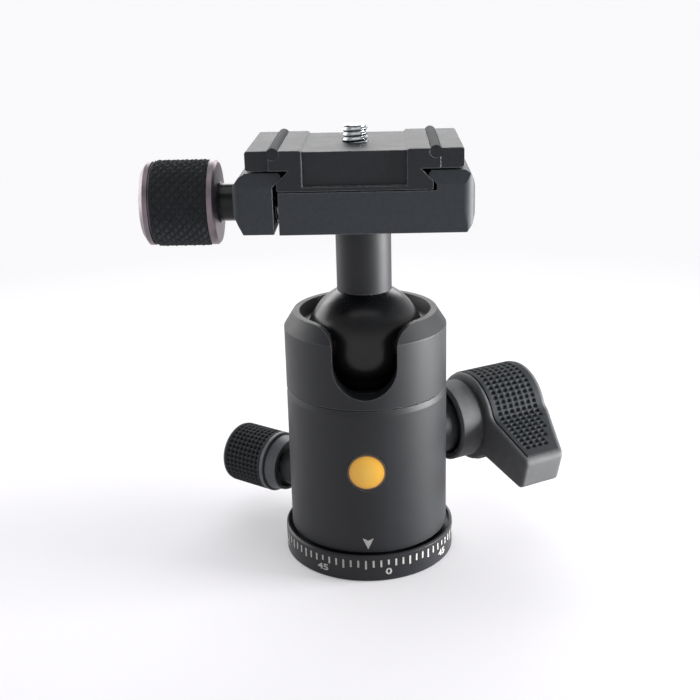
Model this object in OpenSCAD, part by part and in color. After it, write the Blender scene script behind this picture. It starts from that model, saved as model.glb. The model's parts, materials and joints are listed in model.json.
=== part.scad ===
// Tripod ball head with a panning base, a drop notch and a quick-release clamp.
// Origin: centre of the base's underside. +Z is up, the drop notch faces -Y. Millimetres.

/* [Base] */
// Gap between the body and the ring's upstanding lip
ring_gap = 0.9; // [0.7:0.1:4]
// Height of the ring's top edge above its underside
ring_h = 7.6; // [7.2:0.1:10]
// Wall of the ring's upstanding lip
ring_lip = 0.8; // [0.6:0.1:1.2]
// Wall of the ring beside the base disc
ring_wall = 2.5; // [2:0.1:3.5]
// Height of the base disc
disc_h = 6; // [5:0.1:6.4]
// Diameter of the journal that the housing turns on
journal_d = 26; // [24:0.5:28]
// Diameter of the tripod thread
socket_d = 9.525; // [6.35, 9.525]
// Depth of the tripod thread
socket_depth = 11; // [9:0.5:11.5]
// Outer diameter of the tripod bushing
bushing_d = 15; // [13.5:0.5:17]
// Number of marks around the scale
scale_marks_count = 72; // [36, 72]
// Where the scale's zero lies, to the right of the index arrow, in degrees
scale_zero = 13.3; // [0:0.1:60]

/* [Housing] */
// Wall of the body around the ball's cavity
body_wall = 4.8; // [4.3:0.1:5.5]
// Height of the pan lock's axis above the base disc
pan_lock_rise = 10.8; // [10:0.1:12]
// Height of the main lock's axis above the pan lock's
lock_rise = 14.5; // [14:0.1:17]
// Height of the ball's centre above the main lock's axis
ball_rise = 29.5; // [28.5:0.1:34]
// Height of the rim above the ball's centre
rim_rise = 8.8; // [8:0.1:9.4]
// Height of the bevel under the rim
shoulder_h = 4.1; // [3:0.1:5]
// Width of the bevel under the rim
shoulder_w = 2.6; // [2:0.1:3]
// Distance of the seam below the ball's centre
seam_drop = 12.5; // [12:0.1:13.5]
// Width of the drop notch
notch_w = 16.5; // [15.6:0.1:18]
// Distance of the notch's bottom below the ball's centre
notch_drop = 9.5; // [9:0.1:10]
// Radius that opens the notch's mouth into the rim
notch_flare = 5; // [3:0.25:6]
// Diameter of the round badge
badge_d = 10.3; // [8:0.1:12]

/* [Ball] */
// Diameter of the ball
ball_d = 32; // [31:0.1:33]
// Diameter of the neck
neck_d = 14.6; // [13:0.1:15.2]
// Distance from the ball's centre to the clamp's underside
neck_reach = 32.9; // [30:0.1:40]

/* [Main lock] */
// Direction of the main lock's axis, in degrees from +X
lock_angle = 30; // [20:1:40]
// Diameter of the lock knob's hub
hub_d = 22.4; // [22:0.1:26]
// Radius of the lever's round end
lever_r = 12.8; // [12.3:0.1:14]
// Distance from the axis to the lever's tip
lever_reach = 30; // [28:0.1:31]
// Height of the lever's tip
lever_tip_h = 9.8; // [8:0.1:11]
// Width of the lever at its round end
lever_w = 20.1; // [18:0.1:23]
// Width of the lever at its tip
lever_tip_w = 12.5; // [11:0.1:16]
// Angle of the lever below level when the ball is locked, in degrees
lever_rest = 15; // [0:1:30]
// Diameter of the lock screw
lock_screw_d = 8; // [7:0.5:8.5]

/* [Pan lock] */
// Direction of the pan lock's axis, in degrees from +X
pan_lock_angle = 146; // [140:1:160]
// Diameter of the pan lock knob
pan_knob_d = 17.8; // [16.6:0.1:20]
// Length of the pan lock knob's rubber sleeve
pan_sleeve_l = 13.6; // [10:0.1:16]
// Diameter of the pan lock screw
pan_screw_d = 6; // [5:0.5:6.5]

/* [Clamp] */
// How far each end of the clamp stands back from the plate's end
clamp_set_back = 0; // [-4:0.1:1]
// How far the dovetail's middle lies from the neck's axis, towards the clamp knob
dovetail_shift = 1.5; // [0:0.1:2]
// Height of the clamp's floor above its underside
floor_h = 10.5; // [10.5:0.1:13]
// Reach of the fixed jaw's outer side from the dovetail's middle
fixed_reach = 29.3; // [28:0.1:32]
// Reach of the movable jaw's outer side from the dovetail's middle
jaw_reach = 30.1; // [29.8:0.1:33]
// Gap between the movable jaw and the clamp base
jaw_gap = 1.3; // [1:0.1:1.6]
// Height of the clamp screw above the clamp's underside
clamp_screw_rise = 5.2; // [5:0.1:6.2]
// Diameter of the clamp screw's thread
clamp_screw_d = 6; // [5:0.5:6]
// Diameter of the plain collar between jaw and knob
collar_d = 9.8; // [8:0.1:11]
// Length of the plain collar that shows
collar_l = 4.9; // [4:0.1:8]
// Diameter of the clamp knob over its knurl
clamp_knob_d = 22.4; // [20:0.1:25]
// Length of the clamp knob's knurled sleeve
clamp_sleeve_l = 14.7; // [12:0.1:18]

/* [Plate] */
// Width of the quick-release plate across the dovetail
plate_w = 53; // [50:0.5:54]
// Length of the quick-release plate along the dovetail
plate_l = 36; // [32:0.5:50]
// Thickness of the quick-release plate
plate_t = 9.9; // [9.6:0.1:12]
// Thickness of the plate's flanges
flange_t = 4.8; // [4:0.1:5]
// Width of the dovetail at its widest
dovetail_w = 38.1; // [37.9:0.1:38.3]
// Depth of the dovetail's undercut on each side
undercut = 3.05; // [2.6:0.05:3.3]
// Width of the recessed strip in the plate's top
strip_w = 24.8; // [20:0.1:28]
// Depth of the recessed strip
strip_depth = 0.45; // [0.3:0.05:0.8]
// Distance of the rubber cords' middle from the plate's sides
cord_inset = 6.8; // [4.5:0.1:8.5]
// Diameter of the rubber cords
cord_d = 3; // [2:0.1:3.2]
// Diameter of the camera screw
camera_screw_d = 6.35; // [6.35, 9.525]
// Height of the camera screw above the recessed strip
camera_screw_out = 4.3; // [3.5:0.1:6]

/* [Fits] */
// Radial clearance of everything that turns or slides
run_gap = 0.05; // [0.02:0.01:0.1]
// Radial clearance of what is pressed or screwed together
press_gap = 0.02; // [0.01:0.01:0.03]

/* [Hidden] */
$fn = 96;
eps = 0.1;

ball_r = ball_d / 2;
ball_space = 1;
cavity_r = ball_r + ball_space;
body_r = cavity_r + body_wall;
ring_r = body_r + ring_gap + ring_lip;
disc_r = ring_r - ring_wall;
journal_r = journal_d / 2;
socket_r = socket_d / 2;
socket_floor_gap = 0.5;
bushing_r = bushing_d / 2;
thrust_t = 0.95;
thrust_edge = 0.5;
thrust_bore_gap = 0.3;
foot_z = disc_h + thrust_t + run_gap;
foot_bevel = 1;

neck_r = neck_d / 2;
pan_lock_z = disc_h + pan_lock_rise;
lock_z = pan_lock_z + lock_rise;
ball_z = lock_z + ball_rise;
seam_z = ball_z - seam_drop;
rim_z = ball_z + rim_rise;
shoulder_z = rim_z - shoulder_h;
rim_r = body_r - shoulder_w;
rim_flat = 1.6;
spigot_wall = 1.9;
spigot_r = cavity_r + spigot_wall;
spigot_h = 2.5;
seat_lip = 0.4;
seat_rise = 5.7;
seat_top_z = ball_z + seat_rise;
seat_ring_h = 5.5;
seat_bore_wall = 1.9;
seat_bore_depth = 1;
seat_notch_gap = 0.3;
seat_r = ball_r + run_gap;
seam_bevel_h = 1.65;
seam_bevel_w = 0.3;
seam_edge = 0.2;
notch_depth = 17.8;
edge = 0.4;
badge_depth = 1;
badge_gap = 0.15;
badge_recess = 0.1;
badge_dome = 0.6;
badge_dome_sides = 240;

brake_h = 7.2;
brake_depth = 1;
journal_over = 5.3;
journal_top = pan_lock_z + journal_over;
journal_head = 6.4;
bolt_head_r = 6;
bolt_head_h = 3.3;
bolt_head_gap = 1;
bolt_shank_r = 3.5;
bolt_thread_r = 3;
bolt_thread_l = 3.6;
bolt_key_r = 2.3;
bolt_key_depth = 2;
bolt_washer_t = 0.6;
ledge_z = journal_top - journal_head;
web_z = journal_top + run_gap;

wedge_r = 5;
wedge_back = 8.5;
wedge_front = 8.5;
wedge_slope = 0.3;
wedge_mid = 2;
wedge_room = 0.5;
lock_screw_r = lock_screw_d / 2;
lock_bushing_wall = 2.5;
lock_bushing_r = lock_screw_r + lock_bushing_wall;
lock_bushing_in = 15;
lock_boss_wall = 2.1;
lock_boss_r = lock_bushing_r + lock_boss_wall;
lock_boss_reach = 4.7;
lock_boss_end = body_r + lock_boss_reach;
bushing_recess = 0.1;
piston_r = ball_r - run_gap;
piston_foot_r = 4.5;
piston_room = 0.6;
cup_t = 1.3;
piston_top = ball_z - ball_r - cup_t;
piston_t = 5.5;
piston_bottom = piston_top - piston_t;
piston_bore_z = piston_bottom - piston_room;
cup_inset = 1;
cup_r = ball_r - cup_inset;
cup_bore_r = 6;
cup_drop = 10;
cup_top_z = ball_z - cup_drop;

hub_r = hub_d / 2;
hub_gap = 2.6;
hub_in = body_r + hub_gap;
hub_floor_gap = 1.5;
hub_floor = lock_boss_end + hub_floor_gap;
hub_w = 7.1;
hub_out = hub_in + hub_w;
hub_wall = 1.8;
hub_groove_depth = 0.9;
hub_mouth_edge = 0.6;
lever_gap = 0.9;
lever_in = hub_out + lever_gap;
lever_out = lever_in + lever_w;
lever_root_more = 2;
lever_root_h = lever_tip_h + lever_root_more;
lever_slope_from = 12.5;
waist_r = 5;
waist_y = lever_root_h / 2 + waist_r;
waist_x = sqrt(pow(lever_r + waist_r, 2) - pow(waist_y, 2));
tip_round = 1.3;
grip_depth = 0.9;
grip_proud = 0.25;
grip_border = 1.3;
lever_screw_r = 2;
lever_screw_head_r = 4.2;
lever_screw_head_h = 3;
lever_screw_in = 2.5;
lever_thread_in = 2;
lever_key_r = 1.7;
lever_key_floor = 1;
lock_shaft_l = 9;
lock_shaft_out = lever_in + lock_shaft_l;
lever_web = 2.2;
cap_r = 5;
cap_t = 2.8;
cap_recess = 0.2;

pan_screw_r = pan_screw_d / 2;
pan_bushing_wall = 1.4;
pan_bushing_r = pan_screw_r + pan_bushing_wall;
shoe_l = 4;
pan_bushing_in = journal_r + shoe_l;
pan_boss_wall = 1.2;
pan_boss_r = pan_bushing_r + pan_boss_wall;
pan_boss_reach = 6;
pan_boss_end = body_r + pan_boss_reach;
shoe_r = 2.9;
shoe_tip = journal_r - brake_depth + run_gap;
pan_knob_r = pan_knob_d / 2;
pan_knob_gap = 0.3;
pan_in = pan_boss_end + pan_knob_gap;
pan_cup_gap = 1.2;
pan_cup_depth = 2.4;
pan_mouth_w = 0.8;
pan_cone_l = 3.3;
pan_cone_out = pan_in + pan_cone_l;
pan_cone_edge = 0.7;
pan_groove_w = 0.4;
pan_groove_depth = 1.2;
pan_ring_in = pan_cone_out + pan_groove_w;
pan_ring_w = 1.1;
pan_small_edge = 0.2;
pan_sleeve_in = pan_ring_in + pan_ring_w;
pan_sleeve_t = 1.3;
pan_sleeve_out = pan_sleeve_in + pan_sleeve_l;
pan_rim_w = 0.9;
pan_rim_edge = 0.5;
pan_out = pan_sleeve_out + pan_rim_w;
pan_screw_cover = 4;

clamp_z = ball_z + neck_reach;
floor_z = clamp_z + floor_h;
plate_gap = 0.3;
plate_bottom = floor_z + plate_gap;
plate_top = plate_bottom + plate_t;
flange_z = plate_top - flange_t;
dovetail_r = dovetail_w / 2;
plate_neck_r = dovetail_r - undercut;
clamp_l = plate_l - 2 * clamp_set_back;
jaw_top_gap = 0.6;
jaw_top = flange_z - jaw_top_gap;
dovetail_room = 1.05;
jaw_tip_x = dovetail_r - dovetail_room;
jaw_face = plate_neck_r + flange_z + run_gap * sqrt(2);
jaw_tip_z = jaw_face - jaw_tip_x;
jaw_tip_edge = 0.7;
jaw_in = dovetail_r + dovetail_room;
base_side = jaw_in - jaw_gap;
groove_x = base_side + jaw_gap - seam_edge;
clamp_screw_z = clamp_z + clamp_screw_rise;
clamp_screw_r = clamp_screw_d / 2;
clamp_screw_end = 8;
clamp_thread_end = 7;
clamp_band_h = 5.1;
clamp_band_z = clamp_z + clamp_band_h;
clamp_band_taper = 0.3;
jaw_bevel_h = 3.3;
jaw_bevel_z = jaw_top - jaw_bevel_h;
front_bevel = 0.9;
fixed_corner = 3;
fixed_foot_w = 2;
fixed_low_w = 0.6;
fixed_low_h = 1.9;
fixed_side_h = 4.6;
fixed_high_drop = 1.2;
fixed_high_w = 0.4;
fixed_high_rise = 0.9;
fixed_crown_w = 1.5;
fixed_crown_h = 0.6;
fixed_top_w = 2.5;
jaw_corner = 2;
jaw_lift = 0.2;
jaw_foot_w = 2.4;
jaw_shoulder_w = 1.7;
jaw_shoulder_h = 1;
jaw_crown_w = 3.3;
pin_r = 2;
pin_y = 11;
pin_in = 9;
pin_cover = 1.4;
pin_out = jaw_reach - pin_cover;
pin_end_gap = 0.4;
spring_seat_r = 3.3;
spring_seat_base = 5;
spring_seat_jaw = 3;
spring_end_gap = 0.1;
spring_wire = 0.7;
spring_turns = 6;
clamp_bolt_r = 3;
clamp_bolt_head_r = 5;
clamp_bolt_head_h = 4.6;
clamp_bolt_head_gap = 0.2;
clamp_bolt_web = 5.2;
clamp_bolt_seat = floor_z - clamp_bolt_web;
clamp_bolt_l = 12;
clamp_bolt_key_r = 2.9;
clamp_bolt_key_depth = 2.6;
clamp_bolt_end_gap = 1;
collar_r = collar_d / 2;
collar_flange_w = 0.6;
collar_flange_rim = 0.4;
jaw_washer_t = 0.6;
jaw_washer_rim = 0.5;
collar_in = jaw_reach + jaw_washer_t + run_gap;
knob_in = collar_in + collar_l;
knob_ring = 1.9;
knob_ring_rim = 0.3;
knob_ring_edge = 0.6;
sleeve_in = knob_in + knob_ring;
sleeve_out = sleeve_in + clamp_sleeve_l;
knob_groove_w = 0.4;
knob_groove_depth = 1.1;
knob_cap_in = sleeve_out + knob_groove_w;
knob_cap_t = 2.4;
knob_cap_rim = 0.4;
knob_cap_bevel_l = 1.2;
knob_cap_bevel_w = 1.8;
knob_plug_r = 4;
knob_plug_l = 0.8;
knob_plug_room = 0.9;
knob_shaft_cover = 1;
knob_out = knob_cap_in + knob_cap_t;
knob_r = clamp_knob_d / 2;
knob_sleeve_t = 1.6;
knob_core_r = knob_r - knob_sleeve_t;
knob_shaft_r = 3.6;

strip_z = plate_top - strip_depth;
strip_step = 0.9;
foot_edge = 0.3;
flange_edge = 0.5;
front_pocket_rim = 0.8;
front_pocket_w = strip_w + front_pocket_rim;
front_pocket_depth = 1;
front_ledge_h = 1;
front_pocket_z = plate_bottom + front_ledge_h;
flange_end_w = 5.7;
flange_end_step = 0.4;
cord_r = cord_d / 2;
cord_offset = plate_w / 2 - cord_inset;
cord_sink = 0.75;
cord_z = plate_top - cord_sink;
camera_r = camera_screw_d / 2;
screw_head_rim = 4.4;
screw_head_r = camera_r + screw_head_rim;
screw_pocket_gap = 0.6;
screw_pocket_r = screw_head_r + screw_pocket_gap;
screw_pocket_depth = 4.1;
screw_pocket_z = plate_bottom + screw_pocket_depth;
screw_bore_gap = 0.2;
screw_head_top = screw_pocket_z - run_gap;
screw_head_t = 3;
screw_slot_w = 1.8;
screw_slot_depth = 1.4;
screw_relief = 0.45;
screw_relief_over = 0.3;
screw_point = 0.5;
clip_groove = 0.35;
clip_t = 0.5;
clip_lift = 0.3;
clip_z = plate_bottom + clip_lift;
clip_lap = 1.2;
clip_mouth = 4;

scale_drop = 1.3;
scale_top = ring_h - scale_drop;
mark_w = 0.5;
label_step = 45;
long_step = 15;
mark_short = 1.45;
mark_mid = 2;
mark_long = 2.5;
print_t = 0.06;
index_w = 2.9;
index_h = 3.2;
index_barb = 0.8;
index_rise = 1.9;
index_z = foot_z + index_rise;

// Local z points out along a side axis, local y points up.
module side(angle, height) {
    translate([0, 0, height])
        rotate([0, 0, angle])
            rotate([90, 0, 90])
                children();
}

module lock_side() {
    side(lock_angle, lock_z) children();
}

module pan_side() {
    side(pan_lock_angle, pan_lock_z) children();
}

// The clamp and the plate are drawn about the dovetail's middle.
module on_dovetail() {
    translate([-dovetail_shift, 0, 0])
        children();
}

// Local z points out towards -X, along the clamp screw; local y points up.
module clamp_side(across = 0) {
    translate([0, across, 0])
        side(180, clamp_screw_z)
            children();
}

module rod(r, from, to) {
    translate([0, 0, from])
        cylinder(r = r, h = to - from);
}

module tube(outer, inner, from, to) {
    difference() {
        rod(outer, from, to);
        rod(inner, from - eps, to + eps);
    }
}

// A solid turned about z from points given as [radius, height].
module turned(points) {
    rotate_extrude()
        polygon(points);
}

// An outline in X and Z, extruded along Y.
module along_y(length) {
    rotate([90, 0, 0])
        linear_extrude(height = length, center = true)
            children();
}

// An outline in Y and Z, extruded along X.
module along_x(length) {
    rotate([90, 0, 90])
        linear_extrude(height = length, center = true)
            children();
}

module pan_base() {
    color([0.2, 0.2, 0.22])
        difference() {
            turned([[0, 0], [disc_r - press_gap, 0], [disc_r - press_gap, disc_h],
                [journal_r, disc_h], [journal_r, pan_lock_z - brake_h / 2],
                [journal_r - brake_depth, pan_lock_z - brake_h / 2 + brake_depth / 2],
                [journal_r - brake_depth, pan_lock_z + brake_h / 2 - brake_depth / 2],
                [journal_r, pan_lock_z + brake_h / 2], [journal_r, journal_top - edge],
                [journal_r - edge, journal_top], [0, journal_top]]);
            rod(bushing_r + press_gap, -eps, socket_depth + socket_floor_gap);
            rod(bolt_head_r + bolt_head_gap, 0, ledge_z);
            rod(bolt_shank_r + run_gap, 0, journal_top + eps);
        }
}

module scale_ring() {
    color([0.22, 0.22, 0.24])
        turned([[disc_r, 0], [ring_r - edge, 0], [ring_r, edge], [ring_r, ring_h - edge],
            [ring_r - edge, ring_h], [ring_r - ring_lip, ring_h], [ring_r - ring_lip, disc_h],
            [disc_r, disc_h]]);
}

module scale_marks() {
    step = 360 / scale_marks_count;
    color([0.9, 0.9, 0.88])
        for (i = [0 : scale_marks_count - 1]) {
            angle = i * step;
            labelled = angle % label_step == 0;
            long = labelled ? mark_short : angle % long_step == 0 ? mark_long : mark_mid;
            rotate([0, 0, scale_zero - 90 + angle])
                intersection() {
                    tube(ring_r + print_t, ring_r, scale_top - long, scale_top);
                    translate([0, -mark_w / 2, 0])
                        cube([ring_r + edge, mark_w, ring_h]);
                }
        }
}

module tripod_bushing() {
    color([0.78, 0.78, 0.8])
        tube(bushing_r, socket_r, 0, socket_depth);
}

module pan_bolt() {
    head_top = ledge_z - bolt_washer_t - run_gap;
    color([0.6, 0.6, 0.62])
        difference() {
            union() {
                rod(bolt_head_r, head_top - bolt_head_h, head_top);
                rod(bolt_shank_r, head_top, web_z);
                rod(bolt_thread_r, web_z, web_z + bolt_thread_l);
            }
            translate([0, 0, head_top - bolt_head_h - eps])
                cylinder(r = bolt_key_r, h = bolt_key_depth + eps, $fn = 6);
        }
}

module pan_bolt_washer() {
    color([0.85, 0.85, 0.8])
        tube(bolt_head_r, bolt_shank_r + run_gap, ledge_z - bolt_washer_t, ledge_z);
}

module thrust_washer() {
    color([0.15, 0.15, 0.15])
        tube(disc_r - thrust_edge, journal_r + thrust_bore_gap, disc_h, disc_h + thrust_t);
}

module notch_outline(grow) {
    notch_r = notch_w / 2;
    centre_z = ball_z - notch_drop + notch_r;
    flare_z = rim_z - notch_flare;
    translate([0, centre_z])
        circle(r = notch_r + grow);
    translate([-notch_r - grow, centre_z])
        square([notch_w + 2 * grow, rim_z - centre_z + edge]);
    difference() {
        translate([-notch_r - notch_flare, flare_z])
            square([notch_w + 2 * notch_flare, notch_flare + edge]);
        for (side = [-1, 1])
            translate([side * (notch_r + notch_flare), flare_z])
                circle(r = notch_flare - grow);
    }
}

module notch(grow = 0) {
    translate([0, -body_r, 0])
        along_y(2 * notch_depth)
            notch_outline(grow);
}

module badge_pocket(r, front) {
    translate([0, -front, lock_z])
        rotate([90, 0, 0])
            cylinder(r = r, h = body_r);
}

module lower_housing() {
    color([0.24, 0.24, 0.26])
        difference() {
            union() {
                turned([[0, foot_z], [body_r - foot_bevel, foot_z], [body_r, foot_z + foot_bevel],
                    [body_r, seam_z - seam_bevel_h], [body_r - seam_bevel_w, seam_z - seam_edge],
                    [body_r - 2 * seam_bevel_w, seam_z], [spigot_r, seam_z],
                    [spigot_r, seam_z + spigot_h], [0, seam_z + spigot_h]]);
                lock_side() rod(lock_boss_r, lock_bushing_in, lock_boss_end);
                pan_side() rod(pan_boss_r, pan_bushing_in, pan_boss_end);
            }
            rod(journal_r + run_gap, foot_z - eps, web_z);
            rod(bolt_thread_r + press_gap, web_z - eps, lock_z);
            rod(cavity_r, seam_z, seam_z + spigot_h + eps);
            rod(piston_r + run_gap, piston_bore_z, seam_z + eps);
            rod(piston_foot_r + run_gap, lock_z, piston_bore_z + eps);
            lock_side() {
                rod(wedge_r + run_gap, -wedge_back - wedge_room, lock_bushing_in + eps);
                rod(lock_bushing_r + press_gap, lock_bushing_in, lock_boss_end + eps);
            }
            pan_side() {
                rod(shoe_r + run_gap, journal_r - brake_depth, pan_bushing_in + eps);
                rod(pan_bushing_r + press_gap, pan_bushing_in, pan_boss_end + eps);
            }
            badge_pocket(badge_d / 2 + badge_gap, body_r - badge_depth);
        }
}

module upper_housing() {
    color([0.24, 0.24, 0.26])
        difference() {
            turned([[spigot_r + press_gap, seam_z], [body_r - seam_bevel_w, seam_z],
                [body_r, seam_z + seam_bevel_w], [body_r, shoulder_z], [rim_r, rim_z],
                [rim_r - rim_flat, rim_z], [cavity_r - seat_lip, seat_top_z],
                [cavity_r + press_gap, seat_top_z],
                [cavity_r + press_gap, seam_z + spigot_h + press_gap],
                [spigot_r + press_gap, seam_z + spigot_h + press_gap]]);
            notch();
        }
}

module badge() {
    flat = body_r - badge_recess;
    dome_r = (pow(badge_d / 2, 2) + pow(badge_dome, 2)) / (2 * badge_dome);
    color([0.95, 0.62, 0.12]) {
        translate([0, -body_r + badge_depth, lock_z])
            rotate([90, 0, 0])
                cylinder(d = badge_d, h = badge_depth - badge_recess);
        intersection() {
            translate([0, -flat - badge_dome + dome_r, lock_z])
                sphere(r = dome_r, $fn = badge_dome_sides);
            translate([0, -flat, lock_z])
                rotate([90, 0, 0])
                    cylinder(d = badge_d, h = 2 * badge_dome);
        }
    }
}

module index_mark() {
    color([0.9, 0.9, 0.88])
        intersection() {
            tube(body_r + print_t, body_r, index_z - eps, index_z + index_h + eps);
            translate([0, -body_r, 0])
                along_y(index_w)
                    polygon([[0, index_z], [index_w / 2, index_z + index_h],
                        [0, index_z + index_barb * index_h], [-index_w / 2, index_z + index_h]]);
        }
}

module upper_seat_ring() {
    color([0.78, 0.66, 0.36])
        difference() {
            rod(cavity_r - press_gap, seat_top_z - seat_ring_h, seat_top_z - press_gap);
            translate([0, 0, ball_z])
                sphere(r = seat_r);
            rod(cavity_r - seat_bore_wall, seat_top_z - seat_bore_depth, seat_top_z);
            notch(seat_notch_gap);
        }
}

module lock_bushing() {
    color([0.8, 0.68, 0.38])
        lock_side()
            tube(lock_bushing_r, lock_screw_r, lock_bushing_in, lock_boss_end - bushing_recess);
}

module pan_lock_bushing() {
    color([0.8, 0.68, 0.38])
        pan_side()
            tube(pan_bushing_r, pan_screw_r, pan_bushing_in, pan_boss_end - bushing_recess);
}

module seat_cup() {
    color([0.88, 0.87, 0.82])
        difference() {
            tube(cup_r, cup_bore_r, piston_top, cup_top_z);
            translate([0, 0, ball_z])
                sphere(r = seat_r);
        }
}

// Everything above the wedge's sloping face, raised by lift.
module above_wedge(lift) {
    half = 2 * body_r;
    mid_z = lock_z + wedge_mid + lift;
    rotate([0, 0, lock_angle])
        along_y(2 * body_r)
            polygon([[-half, mid_z - wedge_slope * half], [half, mid_z + wedge_slope * half],
                [-half, mid_z + half]]);
}

module lock_piston() {
    color([0.7, 0.7, 0.72]) {
        rod(piston_r, piston_bottom, piston_top);
        intersection() {
            rod(piston_foot_r, lock_z, piston_bottom);
            above_wedge(run_gap);
        }
    }
}

module wedge_block() {
    color([0.6, 0.6, 0.62])
        difference() {
            lock_side() rod(wedge_r, -wedge_back, wedge_front);
            above_wedge(0);
        }
}

module lock_screw() {
    color([0.72, 0.72, 0.74])
        lock_side()
            difference() {
                rod(lock_screw_r - run_gap, wedge_front + run_gap, lock_shaft_out);
                rod(lever_screw_r + press_gap, lever_in + lever_thread_in, lock_shaft_out + eps);
            }
}

module lock_hub() {
    bore = lock_screw_r;
    cup = hub_r - hub_wall;
    color([0.36, 0.36, 0.38])
        lock_side()
            turned([[bore, hub_floor], [cup, hub_floor], [cup, hub_in + edge],
                [cup + edge, hub_in], [hub_r - hub_mouth_edge, hub_in],
                [hub_r, hub_in + hub_mouth_edge], [hub_r, hub_out - edge],
                [hub_r - edge, hub_out], [hub_r - hub_groove_depth, hub_out],
                [hub_r - hub_groove_depth, lever_in], [bore, lever_in]]);
}

// The lever's outline across its axis, with the lobe along +X.
module lever_outline(grow) {
    tip_y = lever_tip_h / 2 + grow;
    tip_x = lever_reach + grow;
    difference() {
        union() {
            circle(r = lever_r + grow);
            polygon([[0, 0], [waist_x, -waist_y], [waist_x, -lever_root_h / 2 - grow],
                [tip_x - tip_round, -tip_y], [tip_x, -tip_y + tip_round],
                [tip_x, tip_y - tip_round], [tip_x - tip_round, tip_y],
                [waist_x, lever_root_h / 2 + grow], [waist_x, waist_y]]);
            for (side = [-1, 1])
                translate([tip_x - tip_round, side * (tip_y - tip_round)])
                    circle(r = tip_round);
        }
        for (side = [-1, 1])
            translate([waist_x, side * waist_y])
                circle(r = waist_r - grow);
    }
}

// The lever seen along its height, as far as reach: the far side slants in to the tip.
module lever_plan(border, reach) {
    slope = (lever_w - lever_tip_w) / (lever_reach - lever_slope_from);
    far = lever_out - border;
    along_y(3 * lever_r)
        polygon([[-lever_r - edge, lever_in + border], [reach, lever_in + border],
            [reach, far - slope * (reach - lever_slope_from)], [lever_slope_from, far],
            [-lever_r - edge, far]]);
}

module lobe_side() {
    lock_side()
        rotate([0, 0, 180 + lever_rest])
            children();
}

module grip_band(outer, inner, border) {
    intersection() {
        translate([0, 0, lever_in])
            linear_extrude(height = lever_w)
                difference() {
                    lever_outline(outer);
                    lever_outline(inner);
                }
        lever_plan(border, lever_reach - border);
    }
}

module lock_lever() {
    color([0.3, 0.3, 0.32])
        lobe_side()
            difference() {
                intersection() {
                    translate([0, 0, lever_in])
                        linear_extrude(height = lever_w)
                            lever_outline(0);
                    lever_plan(0, lever_reach + edge);
                }
                grip_band(2 * grip_depth, -grip_depth - press_gap, grip_border - press_gap);
                rod(lock_screw_r, lever_in - eps, lock_shaft_out);
                rod(lever_screw_r + run_gap, lever_in, lever_out);
                rod(cap_r + press_gap, lock_shaft_out + lever_web, lever_out + eps);
            }
}

module lock_grip() {
    color([0.1, 0.1, 0.11])
        lobe_side()
            grip_band(grip_proud, -grip_depth, grip_border);
}

module lever_screw() {
    seat = lock_shaft_out + lever_web;
    color([0.7, 0.7, 0.72])
        lock_side()
            difference() {
                union() {
                    rod(lever_screw_r, lever_in + lever_screw_in, seat);
                    rod(lever_screw_head_r, seat, seat + lever_screw_head_h);
                }
                translate([0, 0, seat + lever_key_floor])
                    cylinder(r = lever_key_r, h = lever_screw_head_h, $fn = 6);
            }
}

module lever_cap() {
    color([0.14, 0.14, 0.15])
        lock_side()
            rod(cap_r, lever_out - cap_recess - cap_t, lever_out - cap_recess);
}

module brake_shoe() {
    color([0.88, 0.87, 0.82])
        pan_side()
            rod(shoe_r, shoe_tip, pan_bushing_in);
}

module pan_lock_screw() {
    color([0.72, 0.72, 0.74])
        pan_side()
            rod(pan_screw_r - run_gap, pan_bushing_in + run_gap, pan_sleeve_out - pan_screw_cover);
}

module pan_knob_core() {
    bore = pan_screw_r;
    bore_end = pan_sleeve_out - pan_screw_cover + run_gap;
    cup = pan_boss_r + pan_cup_gap;
    cup_floor = pan_in + pan_cup_depth;
    groove_r = pan_knob_r - pan_groove_depth;
    core_r = pan_knob_r - pan_sleeve_t;
    rim = pan_knob_r - pan_small_edge;
    color([0.28, 0.28, 0.3])
        pan_side()
            turned([[0, bore_end], [bore, bore_end], [bore, cup_floor], [cup, cup_floor],
                [cup, pan_in], [cup + pan_mouth_w, pan_in],
                [pan_knob_r - pan_cone_edge, pan_cone_out],
                [groove_r, pan_cone_out + pan_small_edge], [groove_r, pan_ring_in],
                [rim, pan_ring_in], [pan_knob_r, pan_ring_in + pan_small_edge],
                [pan_knob_r, pan_sleeve_in], [core_r, pan_sleeve_in],
                [core_r, pan_sleeve_out], [rim, pan_sleeve_out], [rim, pan_out - pan_rim_edge],
                [rim - pan_rim_edge, pan_out], [0, pan_out]]);
}

module pan_knob_sleeve() {
    color([0.1, 0.1, 0.11])
        pan_side()
            tube(pan_knob_r, pan_knob_r - pan_sleeve_t + press_gap, pan_sleeve_in,
                pan_sleeve_out);
}

module ball() {
    color([0.12, 0.12, 0.13])
        translate([0, 0, ball_z])
            sphere(r = ball_r);
}

module neck() {
    color([0.16, 0.16, 0.17])
        difference() {
            rod(neck_r, ball_z + ball_r / 2, clamp_z - run_gap);
            translate([0, 0, ball_z])
                sphere(r = seat_r);
            rod(clamp_bolt_r, clamp_z - clamp_bolt_l - clamp_bolt_end_gap, clamp_z + eps);
        }
}

// The clamp's ends: flat, with a shallow bevel above and a still shallower one below.
module clamp_ends(length) {
    half = length / 2;
    along_x(3 * jaw_reach)
        polygon([[-half + clamp_band_taper, clamp_z], [half - clamp_band_taper, clamp_z],
            [half, clamp_band_z], [half, jaw_bevel_z], [half - front_bevel, jaw_top],
            [-half + front_bevel, jaw_top], [-half, jaw_bevel_z], [-half, clamp_band_z]]);
}

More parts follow.
